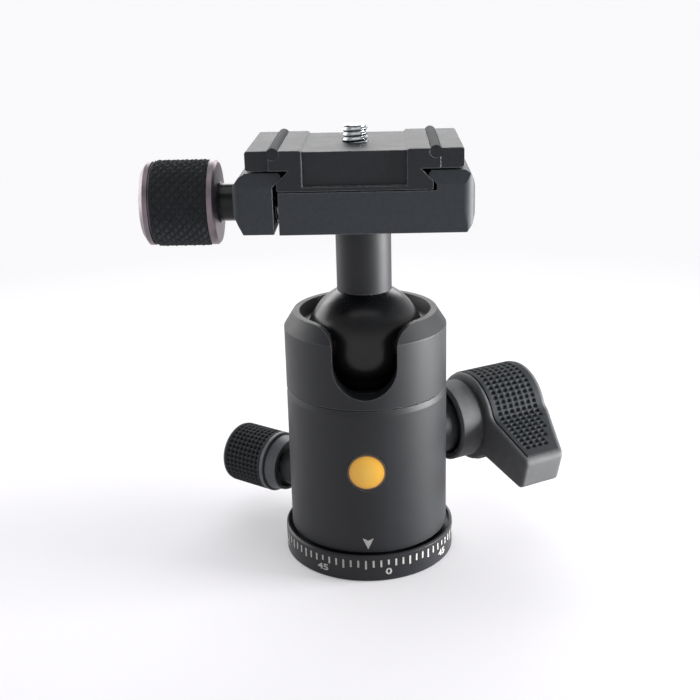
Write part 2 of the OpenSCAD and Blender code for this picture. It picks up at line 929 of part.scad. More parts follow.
module clamp_corners(x_in, x_out, length, corner) {
    half = length / 2;
    translate([0, 0, clamp_z - eps])
        linear_extrude(height = plate_top - clamp_z) {
            translate([x_in, -half])
                square([x_out - x_in - corner, length]);
            translate([x_in, -half + corner])
                square([x_out - x_in, length - 2 * corner]);
            for (end = [-1, 1])
                translate([x_out - corner, end * (half - corner)])
                    circle(r = corner);
        }
}

// Section of the fixed jaw and the clamp's floor; the outer side is rounded in flats.
module base_section() {
    polygon([[-base_side, clamp_z], [fixed_reach - fixed_foot_w, clamp_z],
        [fixed_reach - fixed_low_w, clamp_z + fixed_low_h], [fixed_reach, clamp_z + fixed_side_h],
        [fixed_reach, jaw_bevel_z - fixed_high_drop],
        [fixed_reach - fixed_high_w, jaw_bevel_z + fixed_high_rise],
        [fixed_reach - fixed_crown_w, jaw_top - fixed_crown_h],
        [fixed_reach - fixed_top_w, jaw_top],
        [jaw_tip_x + jaw_tip_edge, jaw_top], [jaw_tip_x, jaw_top - jaw_tip_edge],
        [jaw_tip_x, jaw_tip_z], [groove_x, jaw_face - groove_x],
        [groove_x, floor_z], [-base_side, floor_z]]);
}

module clamp_base() {
    color([0.2, 0.21, 0.23])
        difference() {
            on_dovetail()
                intersection() {
                    along_y(clamp_l)
                        base_section();
                    clamp_ends(clamp_l);
                    clamp_corners(-base_side, fixed_reach, clamp_l, fixed_corner);
                }
            rod(clamp_bolt_head_r + clamp_bolt_head_gap, clamp_bolt_seat, floor_z + eps);
            rod(clamp_bolt_r + press_gap, clamp_z - eps, floor_z);
            on_dovetail() {
                clamp_side() rod(clamp_screw_r, clamp_thread_end, base_side + eps);
                for (end = [-1, 1])
                    clamp_side(end * pin_y) {
                        rod(pin_r + press_gap, pin_in, base_side + eps);
                        rod(spring_seat_r, base_side - spring_seat_base, base_side + eps);
                    }
            }
        }
}

module clamp_bolt() {
    color([0.14, 0.14, 0.15])
        difference() {
            union() {
                rod(clamp_bolt_head_r, clamp_bolt_seat, clamp_bolt_seat + clamp_bolt_head_h);
                rod(clamp_bolt_r - run_gap, clamp_z - clamp_bolt_l, clamp_bolt_seat);
            }
            translate([0, 0, clamp_bolt_seat + clamp_bolt_head_h - clamp_bolt_key_depth])
                cylinder(r = clamp_bolt_key_r, h = clamp_bolt_key_depth + eps, $fn = 6);
        }
}

module guide_pins() {
    color([0.75, 0.75, 0.77])
        on_dovetail()
            for (end = [-1, 1])
                clamp_side(end * pin_y)
                    rod(pin_r, pin_in, pin_out);
}

// One coil spring along z, its wire's centre at radius r.
module coil(r, wire, length, turns) {
    per_turn = 14;
    sides = 6;
    rings = turns * per_turn;
    rise = length - wire;
    points = [for (i = [0 : rings], k = [0 : sides - 1])
        let (turn = 360 * i / per_turn, k_turn = 360 * k / sides,
            out = r + wire / 2 * cos(k_turn))
        [out * cos(turn), out * sin(turn), wire / 2 + rise * i / rings + wire / 2 * sin(k_turn)]];
    walls = [for (i = [0 : rings - 1], k = [0 : sides - 1])
        let (next = (k + 1) % sides)
        [i * sides + k, (i + 1) * sides + k, (i + 1) * sides + next, i * sides + next]];
    start = [for (k = [0 : sides - 1]) k];
    finish = [for (k = [sides - 1 : -1 : 0]) rings * sides + k];
    polyhedron(points, concat(walls, [start, finish]), convexity = 8);
}

module jaw_springs() {
    spring_from = base_side - spring_seat_base + spring_end_gap;
    spring_to = jaw_in + spring_seat_jaw - spring_end_gap;
    color([0.7, 0.7, 0.72])
        on_dovetail()
            for (end = [-1, 1])
                clamp_side(end * pin_y)
                    translate([0, 0, spring_from])
                        coil(spring_seat_r - spring_wire, spring_wire, spring_to - spring_from,
                            spring_turns);
}

// Section of the movable jaw, with its dovetail face towards +X.
module jaw_section() {
    jaw_bottom = clamp_z + jaw_lift;
    polygon([[-jaw_in, jaw_bottom], [-jaw_reach + jaw_foot_w, jaw_bottom],
        [-jaw_reach, clamp_band_z + jaw_lift], [-jaw_reach, jaw_bevel_z],
        [-jaw_reach + jaw_shoulder_w, jaw_top - jaw_shoulder_h],
        [-jaw_reach + jaw_crown_w, jaw_top],
        [-jaw_tip_x - jaw_tip_edge, jaw_top], [-jaw_tip_x, jaw_top - jaw_tip_edge],
        [-jaw_tip_x, jaw_tip_z], [-jaw_in, jaw_face - jaw_in]]);
}

module movable_jaw() {
    color([0.2, 0.21, 0.23])
        on_dovetail()
            difference() {
                intersection() {
                    along_y(clamp_l)
                        jaw_section();
                    clamp_ends(clamp_l);
                    mirror([1, 0, 0])
                        clamp_corners(jaw_tip_x, jaw_reach, clamp_l, jaw_corner);
                }
                clamp_side() rod(clamp_screw_r + run_gap, jaw_tip_x, jaw_reach + eps);
                for (end = [-1, 1])
                    clamp_side(end * pin_y) {
                        rod(pin_r + run_gap, jaw_tip_x, pin_out + pin_end_gap);
                        rod(spring_seat_r, jaw_tip_x, jaw_in + spring_seat_jaw);
                    }
            }
}

module jaw_washer() {
    color([0.7, 0.7, 0.72])
        on_dovetail()
            clamp_side()
                tube(collar_r + jaw_washer_rim, clamp_screw_r + run_gap, jaw_reach,
                    jaw_reach + jaw_washer_t);
}

module clamp_screw() {
    flange_in = knob_in - collar_flange_w;
    color([0.13, 0.13, 0.14])
        on_dovetail()
            clamp_side() {
                rod(clamp_screw_r - run_gap, clamp_screw_end, collar_in);
                rod(collar_r, collar_in, flange_in);
                rod(collar_r + collar_flange_rim, flange_in, knob_in);
                rod(knob_shaft_r, knob_in, sleeve_out - knob_shaft_cover);
            }
}

module clamp_knob_core() {
    bore = knob_shaft_r + press_gap;
    ring = knob_r - knob_ring_rim;
    neck = knob_r - knob_groove_depth;
    room_z = sleeve_out - knob_plug_room;
    color([0.5, 0.46, 0.48])
        on_dovetail()
            clamp_side()
                turned([[bore, knob_in], [ring - knob_ring_edge, knob_in],
                    [ring, knob_in + knob_ring_edge], [ring, sleeve_in], [knob_core_r, sleeve_in],
                    [knob_core_r, sleeve_out], [neck, sleeve_out], [neck, knob_cap_in],
                    [knob_plug_r, knob_cap_in], [knob_plug_r, room_z], [bore, room_z]]);
}

module clamp_knob_sleeve() {
    color([0.1, 0.1, 0.11])
        on_dovetail()
            clamp_side()
                tube(knob_r, knob_core_r + press_gap, sleeve_in, sleeve_out);
}

module clamp_knob_cap() {
    plug = knob_plug_r - press_gap;
    plug_in = knob_cap_in - knob_plug_l;
    rim = knob_r - knob_cap_rim;
    color([0.5, 0.46, 0.48])
        on_dovetail()
            clamp_side()
                turned([[0, plug_in], [plug, plug_in], [plug, knob_cap_in], [rim, knob_cap_in],
                    [rim, knob_out - knob_cap_bevel_l], [rim - knob_cap_bevel_w, knob_out],
                    [0, knob_out]]);
}

module plate_section() {
    half = plate_w / 2;
    strip = strip_w / 2;
    polygon([[-dovetail_r + foot_edge, plate_bottom], [dovetail_r - foot_edge, plate_bottom],
        [dovetail_r, plate_bottom + foot_edge], [dovetail_r, flange_z - undercut],
        [plate_neck_r, flange_z], [half - flange_edge, flange_z],
        [half, flange_z + flange_edge], [half, plate_top - edge], [half - edge, plate_top],
        [strip + strip_step, plate_top], [strip, strip_z], [-strip, strip_z],
        [-strip - strip_step, plate_top], [-half + edge, plate_top], [-half, plate_top - edge],
        [-half, flange_z + flange_edge], [-half + flange_edge, flange_z],
        [-plate_neck_r, flange_z], [-dovetail_r, flange_z - undercut],
        [-dovetail_r, plate_bottom + foot_edge]]);
}

module plate_outline() {
    half = plate_l / 2;
    end_x = plate_w / 2 - flange_end_w;
    translate([-end_x, -half])
        square([2 * end_x, plate_l]);
    translate([-plate_w / 2, -half + flange_end_step])
        square([plate_w, plate_l - 2 * flange_end_step]);
}

module release_plate() {
    color([0.21, 0.22, 0.24])
        on_dovetail()
            difference() {
                intersection() {
                    along_y(plate_l)
                        plate_section();
                    translate([0, 0, plate_bottom - eps])
                        linear_extrude(height = plate_t + 2 * eps)
                            plate_outline();
                }
                for (side = [-1, 1]) {
                    translate([side * cord_offset, 0, cord_z])
                        rotate([90, 0, 0])
                            cylinder(r = cord_r + press_gap, h = plate_l + eps, center = true);
                    translate([0, side * plate_l / 2, front_pocket_z + plate_t / 2])
                        cube([front_pocket_w, 2 * front_pocket_depth, plate_t], center = true);
                }
                rod(screw_pocket_r, plate_bottom - eps, screw_pocket_z);
                rod(screw_pocket_r + clip_groove, clip_z - press_gap, clip_z + clip_t + press_gap);
                rod(camera_r + screw_bore_gap, plate_bottom, plate_top);
            }
}

module grip_cord(side) {
    color([0.14, 0.14, 0.15])
        on_dovetail()
            translate([side * cord_offset, 0, cord_z])
                rotate([90, 0, 0])
                    cylinder(r = cord_r, h = plate_l, center = true);
}

module left_cord() {
    grip_cord(-1);
}

module right_cord() {
    grip_cord(1);
}

module screw_clip() {
    color([0.7, 0.7, 0.72])
        on_dovetail()
            difference() {
                tube(screw_pocket_r + clip_groove - press_gap, screw_head_r - clip_lap, clip_z,
                    clip_z + clip_t);
                translate([0, -clip_mouth / 2, clip_z - eps])
                    cube([2 * screw_pocket_r, clip_mouth, clip_t + 2 * eps]);
            }
}

module camera_screw() {
    head_bottom = screw_head_top - screw_head_t;
    stud_top = strip_z + camera_screw_out;
    thread_z = strip_z + screw_relief_over;
    relief_r = camera_r - screw_relief;
    color([0.82, 0.82, 0.84])
        on_dovetail()
            difference() {
                turned([[0, head_bottom], [screw_head_r, head_bottom],
                    [screw_head_r, screw_head_top], [relief_r, screw_head_top],
                    [relief_r, thread_z], [camera_r, thread_z],
                    [camera_r, stud_top - screw_point], [camera_r - screw_point, stud_top],
                    [0, stud_top]]);
                translate([-screw_head_r, -screw_slot_w / 2, head_bottom - eps])
                    cube([2 * screw_head_r, screw_slot_w, screw_slot_depth + eps]);
            }
}

pan_base();
scale_ring();
scale_marks();
tripod_bushing();
pan_bolt();
pan_bolt_washer();
thrust_washer();
lower_housing();
upper_housing();
badge();
index_mark();
upper_seat_ring();
lock_bushing();
pan_lock_bushing();
seat_cup();
lock_piston();
wedge_block();
lock_screw();
lock_hub();
lock_lever();
lock_grip();
lever_screw();
lever_cap();
brake_shoe();
pan_lock_screw();
pan_knob_core();
pan_knob_sleeve();
ball();
neck();
clamp_base();
clamp_bolt();
guide_pins();
jaw_springs();
movable_jaw();
jaw_washer();
clamp_screw();
clamp_knob_core();
clamp_knob_sleeve();
clamp_knob_cap();
release_plate();
left_cord();
right_cord();
screw_clip();
camera_screw();
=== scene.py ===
import bisect
import json
import math

import bmesh
import bpy
from mathutils import Matrix, Vector


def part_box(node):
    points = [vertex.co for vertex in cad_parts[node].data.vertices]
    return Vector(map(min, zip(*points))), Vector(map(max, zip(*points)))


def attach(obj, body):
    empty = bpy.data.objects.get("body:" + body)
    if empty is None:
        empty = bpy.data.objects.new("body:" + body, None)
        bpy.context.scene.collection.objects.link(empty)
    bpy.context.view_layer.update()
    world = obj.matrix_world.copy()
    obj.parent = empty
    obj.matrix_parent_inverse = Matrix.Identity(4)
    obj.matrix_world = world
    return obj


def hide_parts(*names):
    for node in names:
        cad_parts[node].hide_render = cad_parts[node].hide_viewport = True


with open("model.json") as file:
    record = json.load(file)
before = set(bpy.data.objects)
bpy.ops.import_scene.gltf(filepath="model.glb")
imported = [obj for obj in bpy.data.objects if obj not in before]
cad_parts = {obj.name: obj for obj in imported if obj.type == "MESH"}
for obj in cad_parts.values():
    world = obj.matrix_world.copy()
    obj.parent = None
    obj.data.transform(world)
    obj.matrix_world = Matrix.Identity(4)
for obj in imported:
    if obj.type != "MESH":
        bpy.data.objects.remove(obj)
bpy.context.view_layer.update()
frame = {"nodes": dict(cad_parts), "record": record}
nodes = frame["nodes"]
joints = {joint["name"]: joint for joint in frame["record"]["behaviour"]["joints"]}
mm = 0.001
scene = bpy.context.scene


# sRGB hex to the linear colour that Blender's sockets take.
def toLinear(hexText):
    channels = [int(hexText[i:i + 2], 16) / 255 for i in (1, 3, 5)]
    return tuple(c / 12.92 if c <= 0.04045 else ((c + 0.055) / 1.055) ** 2.4
                 for c in channels) + (1.0,)


# Adds one node: settings are its properties, sockets are values or other nodes' outputs.
def addNode(tree, kind, settings=None, sockets=None):
    made = tree.nodes.new(kind)
    for key, value in (settings or {}).items():
        setattr(made, key, value)
    for key, value in (sockets or {}).items():
        if isinstance(value, bpy.types.NodeSocket):
            tree.links.new(value, made.inputs[key])
        else:
            made.inputs[key].default_value = value
    return made


def boxSize(name):
    low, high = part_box(name)
    return high - low


def boxCentre(name):
    low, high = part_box(name)
    return (low + high) / 2


# Makes an object of points in metres, smooths its gentle edges and hands it to its body.
def addPiece(name, points, faces, body, material, smoothDeg=35):
    mesh = bpy.data.meshes.new(name)
    mesh.from_pydata([tuple(p) for p in points], [], faces)
    mesh.validate()
    piece = bpy.data.objects.new(name, mesh)
    scene.collection.objects.link(piece)
    return dressPiece(piece, body, material, smoothDeg)


def dressPiece(piece, body, material, smoothDeg=35):
    work = bmesh.new()
    work.from_mesh(piece.data)
    bmesh.ops.recalc_face_normals(work, faces=work.faces)
    limit = math.radians(smoothDeg)
    for face in work.faces:
        face.smooth = True
    for edge in work.edges:
        edge.smooth = len(edge.link_faces) == 2 and edge.calc_face_angle() < limit
    work.to_mesh(piece.data)
    work.free()
    piece.data.materials.clear()
    piece.data.materials.append(material)
    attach(piece, body)
    return piece


# Faces between rings of points, each ring closed on itself.
def skinFaces(rows, columns, closedRows=True):
    faces = []
    for r in range(rows if closedRows else rows - 1):
        below = r * columns
        above = ((r + 1) % rows) * columns
        for c in range(columns):
            nextC = (c + 1) % columns
            faces.append((below + c, below + nextC, above + nextC, above + c))
    return faces


# A knob's own axes in the model: z out along the joint's axis, y up.
def axisFrame(jointName):
    out = Vector(joints[jointName]["axis"]).normalized()
    up = Vector((0, 0, 1))
    turn = Matrix((up.cross(out), up, out)).transposed().to_4x4()
    return Matrix.Translation(Vector(joints[jointName]["pos_m"])) @ turn


def smoothStep(low, high, value):
    t = min(1.0, max(0.0, (value - low) / (high - low)))
    return t * t * (3 - 2 * t)


def triangleWave(value):
    return 1 - abs(2 * (value % 1.0) - 1)


# A principled material with a rounded edge for the light. Metals keep the default IOR.
def startMaterial(name, baseHex, metallic, roughness, ior=1.5, edgeMm=0.18):
    material = bpy.data.materials.new(name)
    material.use_nodes = True
    tree = material.node_tree
    shader = tree.nodes["Principled BSDF"]
    shader.inputs["Base Color"].default_value = toLinear(baseHex)
    shader.inputs["Metallic"].default_value = metallic
    shader.inputs["Roughness"].default_value = roughness
    if metallic == 0:
        shader.inputs["IOR"].default_value = ior
    coords = addNode(tree, "ShaderNodeTexCoord").outputs["Object"]
    edge = addNode(tree, "ShaderNodeBevel", {"samples": 6}, {"Radius": edgeMm * mm})
    return material, tree, shader, coords, edge.outputs["Normal"]


# Grain of a size in mm as relief, over the rounded edges.
def addGrain(tree, shader, coords, edge, grainMm, depthMm, detail=2.0):
    grain = addNode(tree, "ShaderNodeTexNoise", None, {
        "Vector": coords, "Scale": 1 / (grainMm * mm), "Detail": detail, "Roughness": 0.55})
    relief = addNode(tree, "ShaderNodeBump", None, {
        "Height": grain.outputs["Fac"], "Normal": edge, "Distance": depthMm * mm})
    tree.links.new(relief.outputs["Normal"], shader.inputs["Normal"])


# Slow changes of tone between two colours, over patches of a size in mm.
def addTone(tree, shader, coords, darkHex, lightHex, patchMm, low=0.3, high=0.7):
    patch = addNode(tree, "ShaderNodeTexNoise", None, {
        "Vector": coords, "Scale": 1 / (patchMm * mm), "Detail": 4.0, "Roughness": 0.6})
    ramp = addNode(tree, "ShaderNodeValToRGB", None, {"Fac": patch.outputs["Fac"]})
    dark, light = ramp.color_ramp.elements
    dark.position = low
    light.position = high
    dark.color = toLinear(darkHex)
    light.color = toLinear(lightHex)
    tree.links.new(ramp.outputs["Color"], shader.inputs["Base Color"])
    return ramp.outputs["Color"]


# Lets the roughness wander between two values.
def addSheenChange(tree, shader, coords, low, high, patchMm):
    patch = addNode(tree, "ShaderNodeTexNoise", None, {
        "Vector": coords, "Scale": 1 / (patchMm * mm), "Detail": 3.0, "Roughness": 0.5})
    spread = addNode(tree, "ShaderNodeMapRange", None, {
        "Value": patch.outputs["Fac"], "From Min": 0.3, "From Max": 0.7,
        "To Min": low, "To Max": high})
    tree.links.new(spread.outputs["Result"], shader.inputs["Roughness"])


# Lightens the sharp edges where the rounded and the true normal differ, broken by noise:
# rubbed wear, and on the powder coat and blasted anodise also a painted highlight on the edges.
# The lightening starts where the cosine between them is 0.995 and is full at 0.86.
def addEdgeWearAndHighlight(tree, shader, coords, base, edgeHex, edge, amount, patchMm=0.9, evenly=False):
    true = addNode(tree, "ShaderNodeNewGeometry").outputs["Normal"]
    meet = addNode(tree, "ShaderNodeVectorMath", {"operation": "DOT_PRODUCT"}, {0: true, 1: edge})
    bend = addNode(tree, "ShaderNodeMapRange", None, {
        "Value": meet.outputs["Value"], "From Min": 0.995, "From Max": 0.86,
        "To Min": 0.0, "To Max": amount})
    edgeNoise = addNode(tree, "ShaderNodeTexNoise", None, {
        "Vector": coords, "Scale": 1 / (patchMm * mm), "Detail": 3.0, "Roughness": 0.6})
    broken = addNode(tree, "ShaderNodeMapRange", None, {
        "Value": edgeNoise.outputs["Fac"], "From Min": 0.0 if evenly else 0.25,
        "From Max": 0.2 if evenly else 0.55})
    share = addNode(tree, "ShaderNodeMath", {"operation": "MULTIPLY"}, {
        0: bend.outputs["Result"], 1: broken.outputs["Result"]})
    mixed = addNode(tree, "ShaderNodeMix", {"data_type": "RGBA"}, {
        "Factor": share.outputs[0], 6: base, 7: toLinear(edgeHex)})
    tree.links.new(mixed.outputs[2], shader.inputs["Base Color"])


# Powder-coated aluminium: a satin black that scatters light through its fine orange peel.
def makePowderCoat():
    material, tree, shader, coords, edge = startMaterial("powderCoat", "#131519", 0.0, 0.52, 1.44,
                                                         edgeMm=0.3)
    addGrain(tree, shader, coords, edge, 0.24, 0.011)
    tone = addTone(tree, shader, coords, "#111317", "#16181c", 9)
    addSheenChange(tree, shader, coords, 0.5, 0.54, 6)
    # The lighter grey on the edges is a painted highlight for the light line along the slot's rim
    # and chamfers.
    addEdgeWearAndHighlight(tree, shader, coords, tone, "#85878b", edge, 0.85)
    return material


# Bead-blasted, black anodised aluminium: matt, a little blue, with a fine even grit.
def makeBlastedAnodise(name, darkHex, lightHex):
    material, tree, shader, coords, edge = startMaterial(name, darkHex, 0.0, 0.54, 1.4, edgeMm=0.3)
    addGrain(tree, shader, coords, edge, 0.3, 0.026, detail=4.0)
    tone = addTone(tree, shader, coords, darkHex, lightHex, 1.2)
    addSheenChange(tree, shader, coords, 0.52, 0.56, 4)
    # The lighter grey on the edges is partly rubbed wear and partly a painted highlight along the
    # edges.
    addEdgeWearAndHighlight(tree, shader, coords, tone, "#a0a3a6", edge, 0.75)
    return material


# The graduated ring and base: turned, then anodised.
def makeTurnedAnodise():
    material, tree, shader, coords, edge = startMaterial("turnedAnodise", "#191a1e", 0.0, 0.38, 1.4)
    addGrain(tree, shader, coords, edge, 0.2, 0.01)
    tone = addTone(tree, shader, coords, "#17181c", "#1d1e22", 7)
    addEdgeWearAndHighlight(tree, shader, coords, tone, "#5a5c5f", edge, 0.4)
    return material


# Hard anodised and polished ball: nearly black, with a smooth wide highlight.
def makeBallAnodise():
    material, tree, shader, coords, edge = startMaterial("ballAnodise", "#0c0d0f", 0.0, 0.28, 1.42)
    addGrain(tree, shader, coords, edge, 0.1, 0.003)
    addSheenChange(tree, shader, coords, 0.26, 0.32, 5)
    return material


# Metallic paint on die-cast aluminium: gunmetal flakes under a fine sandy texture.
def makeGunmetalPaint(name, darkHex, lightHex):
    material, tree, shader, coords, edge = startMaterial(name, darkHex, 0.15, 0.7, edgeMm=0.25)
    addGrain(tree, shader, coords, edge, 0.22, 0.02, detail=3.0)
    addTone(tree, shader, coords, darkHex, lightHex, 4)
    addSheenChange(tree, shader, coords, 0.66, 0.74, 3)
    return material


# Plain satin paint of the pan lock knob's core.
def makeSatinPaint():
    material, tree, shader, coords, edge = startMaterial("satinPaint", "#54585b", 0.0, 0.45)
    addGrain(tree, shader, coords, edge, 0.2, 0.012)
    tone = addTone(tree, shader, coords, "#505457", "#595d60", 4)
    addEdgeWearAndHighlight(tree, shader, coords, tone, "#6a6c6f", edge, 0.35)
    return material


# Moulded rubber: dull, slightly dusty.
def makeMouldedRubber():
    material, tree, shader, coords, edge = startMaterial("mouldedRubber", "#25282b", 0.0, 0.75,
                                                         1.35, edgeMm=0.08)
    addGrain(tree, shader, coords, edge, 0.12, 0.01)
    addTone(tree, shader, coords, "#222528", "#2a2d30", 3)
    return material


# Bronze-grey anodised aluminium, turned: fine rings along the clamp knob's axis.
def makeBronzeAnodise():
    material, tree, shader, coords, edge = startMaterial("bronzeAnodise", "#7d7478", 1.0, 0.45)
    rings = addNode(tree, "ShaderNodeTexWave", {"wave_type": "BANDS", "bands_direction": "X"}, {
        "Vector": coords, "Scale": 1 / (0.25 * mm) / 20, "Distortion": 0.4})
    relief = addNode(tree, "ShaderNodeBump", None, {
        "Height": rings.outputs["Fac"], "Normal": edge, "Distance": 0.004 * mm,
        "Strength": 0.6})
    tree.links.new(relief.outputs["Normal"], shader.inputs["Normal"])
    addTone(tree, shader, coords, "#786f74", "#857c81", 4)
    return material


# Zinc-plated steel: bright, faintly blue, with a cloudy plating.
def makeZincPlate():
    material, tree, shader, coords, edge = startMaterial("zincPlate", "#c4c9cc", 1.0, 0.28,
                                                         edgeMm=0.06)
    addGrain(tree, shader, coords, edge, 0.2, 0.006)
    addTone(tree, shader, coords, "#a9afb3", "#cfd3d4", 1.5)
    addSheenChange(tree, shader, coords, 0.2, 0.36, 1.2)
    return material


# Plain turned steel of the screws, pins and springs.
def makeTurnedSteel():
    material, tree, shader, coords, edge = startMaterial("turnedSteel", "#9a9b9d", 1.0, 0.32)
    addGrain(tree, shader, coords, edge, 0.15, 0.005)
    addTone(tree, shader, coords, "#909193", "#a3a4a6", 3)
    return material


# Black-oxided steel: oily black with a sharp highlight on the clamp screw's collar.
def makeBlackOxide():
    material, tree, shader, coords, edge = startMaterial("blackOxide", "#0a0c0e", 0.0, 0.2, 1.36)
    addGrain(tree, shader, coords, edge, 0.1, 0.002)
    addSheenChange(tree, shader, coords, 0.16, 0.24, 3)
    return material


# Turned brass of the two bushings: warm yellow that has dulled a little.
def makeTurnedBrass():
    material, tree, shader, coords, edge = startMaterial("turnedBrass", "#b59a5c", 1.0, 0.36)
    addGrain(tree, shader, coords, edge, 0.15, 0.004)
    addTone(tree, shader, coords, "#a48a4e", "#bfa566", 3)
    return material


# The ball's seat ring: black over brass, bare at its edges and on its cut ends.
def makeLinedBrass():
    material, tree, shader, coords, edge = startMaterial("linedBrass", "#0f0f0f", 0.0, 0.4,
                                                         edgeMm=0.5)
    addGrain(tree, shader, coords, edge, 0.2, 0.004)
    tone = addTone(tree, shader, coords, "#0d0d0d", "#141414", 3)
    normal = addNode(tree, "ShaderNodeNewGeometry").outputs["Normal"]
    side = addNode(tree, "ShaderNodeSeparateXYZ", None, {0: normal}).outputs["X"]
    facing = addNode(tree, "ShaderNodeMath", {"operation": "ABSOLUTE"}, {0: side})
    cut = addNode(tree, "ShaderNodeMapRange", None, {
        "Value": facing.outputs[0], "From Min": 0.995, "From Max": 0.999})
    bare = addNode(tree, "ShaderNodeMix", {"data_type": "RGBA"}, {
        "Factor": cut.outputs["Result"], 6: tone, 7: toLinear("#e8d3a0")})
    addEdgeWearAndHighlight(tree, shader, coords, bare.outputs[2], "#c9ac6c", edge, 1.0, evenly=True)
    return material


# Pad-printed ink: off-white and matt, thin over the anodising below.
def makeScaleInk():
    material, tree, shader, coords, edge = startMaterial("scaleInk", "#bcbbb6", 0.0, 0.6,
                                                         edgeMm=0.02)
    addTone(tree, shader, coords, "#a9a8a3", "#c6c5c0", 0.8)
    return material


# Nylon bearing parts: milky white with a soft sheen.
def makeNylon():
    material, tree, shader, coords, edge = startMaterial("nylon", "#d8d5ca", 0.0, 0.45)
    shader.inputs["Subsurface Weight"].default_value = 0.1
    shader.inputs["Subsurface Scale"].default_value = 1 * mm
    addGrain(tree, shader, coords, edge, 0.3, 0.006)
    addTone(tree, shader, coords, "#d2cfc3", "#dddace", 4)
    return material


# Machined aluminium of the lock piston.
def makeMachinedAluminium():
    material, tree, shader, coords, edge = startMaterial("machinedAluminium", "#a8a9ab", 1.0, 0.4)
    addGrain(tree, shader, coords, edge, 0.2, 0.006)
    addTone(tree, shader, coords, "#9e9fa1", "#b0b1b3", 3)
    return material


# Orange badge under a clear resin dome, with a dark ring at its edge.
def makeResinBadge():
    material, tree, shader, coords, edge = startMaterial("resinBadge", "#e39a22", 0.0, 0.35,
                                                         edgeMm=0.1)
    centre = boxCentre("badge")
    radius = boxSize("badge").x / 2
    shift = addNode(tree, "ShaderNodeVectorMath", {"operation": "SUBTRACT"}, {
        0: coords, 1: tuple(centre)})
    flat = addNode(tree, "ShaderNodeVectorMath", {"operation": "MULTIPLY"}, {
        0: shift.outputs[0], 1: (1 / radius, 0, 1 / radius)})
    reach = addNode(tree, "ShaderNodeVectorMath", {"operation": "LENGTH"}, {0: flat.outputs[0]})
    ramp = addNode(tree, "ShaderNodeValToRGB", None, {"Fac": reach.outputs["Value"]})
    first, last = ramp.color_ramp.elements
    first.color = toLinear("#ffca48")
    last.color = toLinear("#1d160b")
    for place, colour in ((0.7, "#ffc038"), (0.87, "#efab2a"), (0.91, "#5a3d10")):
        stop = ramp.color_ramp.elements.new(place)
        stop.color = toLinear(colour)
    tree.links.new(ramp.outputs["Color"], shader.inputs["Base Color"])
    addGrain(tree, shader, coords, edge, 0.3, 0.003)
    shader.inputs["Coat Weight"].default_value = 0.5
    shader.inputs["Coat Roughness"].default_value = 0.08
    return material


# Moulded black acetal: thrust washer, seat cup and the cap in the lever.
def makeBlackAcetal():
    material, tree, shader, coords, edge = startMaterial("blackAcetal", "#151618", 0.0, 0.4)
    addGrain(tree, shader, coords, edge, 0.25, 0.006)
    addTone(tree, shader, coords, "#131416", "#191a1c", 3)
    return material


powderCoat = makePowderCoat()
clampAnodise = makeBlastedAnodise("clampAnodise", "#2c3035", "#33373c")
plateAnodise = makeBlastedAnodise("plateAnodise", "#15181c", "#1b1e22")
turnedAnodise = makeTurnedAnodise()
ballAnodise = makeBallAnodise()
leverPaint = makeGunmetalPaint("leverPaint", "#535455", "#5e5f60")
# The hub has the lever's paint, made darker as painted shade.
leverPaintShaded = makeGunmetalPaint("leverPaintShaded", "#444546", "#4f5051")
satinPaint = makeSatinPaint()
mouldedRubber = makeMouldedRubber()
bronzeAnodise = makeBronzeAnodise()
zincPlate = makeZincPlate()
turnedSteel = makeTurnedSteel()
blackOxide = makeBlackOxide()
turnedBrass = makeTurnedBrass()
linedBrass = makeLinedBrass()
scaleInk = makeScaleInk()
nylon = makeNylon()
machinedAluminium = makeMachinedAluminium()
resinBadge = makeResinBadge()
blackAcetal = makeBlackAcetal()

nodeFinish = {
    "pan_base": turnedAnodise, "scale_ring": turnedAnodise, "scale_marks": scaleInk,
    "tripod_bushing": turnedSteel, "pan_bolt": turnedSteel, "pan_bolt_washer": nylon,
    "thrust_washer": blackAcetal, "lower_housing": powderCoat, "upper_housing": powderCoat,
    "badge": resinBadge, "index_mark": scaleInk, "upper_seat_ring": linedBrass,
    "lock_bushing": turnedBrass, "pan_lock_bushing": turnedBrass, "seat_cup": blackAcetal,
    "lock_piston": machinedAluminium, "wedge_block": turnedSteel, "lock_screw": turnedSteel,
    "lock_hub": leverPaintShaded, "lock_lever": leverPaint, "lock_grip": mouldedRubber,
    "lever_screw": turnedSteel, "lever_cap": blackAcetal, "brake_shoe": nylon,
    "pan_lock_screw": turnedSteel, "pan_knob_core": satinPaint,
    "pan_knob_sleeve": mouldedRubber, "ball": ballAnodise, "neck": powderCoat,
    "clamp_base": clampAnodise, "clamp_bolt": blackOxide, "guide_pins": turnedSteel,
    "jaw_springs": turnedSteel, "movable_jaw": clampAnodise, "jaw_washer": turnedSteel,
    "clamp_screw": blackOxide, "clamp_knob_core": bronzeAnodise,
    "clamp_knob_sleeve": mouldedRubber, "clamp_knob_cap": bronzeAnodise,
    "release_plate": plateAnodise, "left_cord": mouldedRubber, "right_cord": mouldedRubber,
    "screw_clip": turnedSteel, "camera_screw": zincPlate,
}
for name, finish in nodeFinish.items():
    nodes[name].data.materials.clear()
    nodes[name].data.materials.append(finish)
print("materials on", len(nodeFinish), "nodes")


# Knurl of the clamp knob: sharp little pyramids with their crests rubbed flat.
clampKnurl = {
    "around": 26,      # diamonds round the knob
    "pitch": 2.23,     # mm between diamonds along it
    "depth": 0.52,     # mm from crest to groove
    "crest": 0.84,     # where the crests are cut flat, as a share of the full height
    "steps": 8,        # mesh steps across one diamond
    "endBevel": 0.3,   # mm, plain bevel at both ends
    "wall": 1.5,       # mm
}


levelFall = 1e-6  # difference of heights below which a face counts as flat


# Splits a face along its groove, so that no false ridge crosses it.
def splitFace(corners, heights):
    a, b, c, d = corners
    fall = heights[a] + heights[c] - heights[b] - heights[d]
    if abs(fall) < levelFall:
        return [(a, b, c, d)]
    if fall < 0:
        return [(a, b, c), (a, c, d)]
    return [(a, b, d), (b, c, d)]


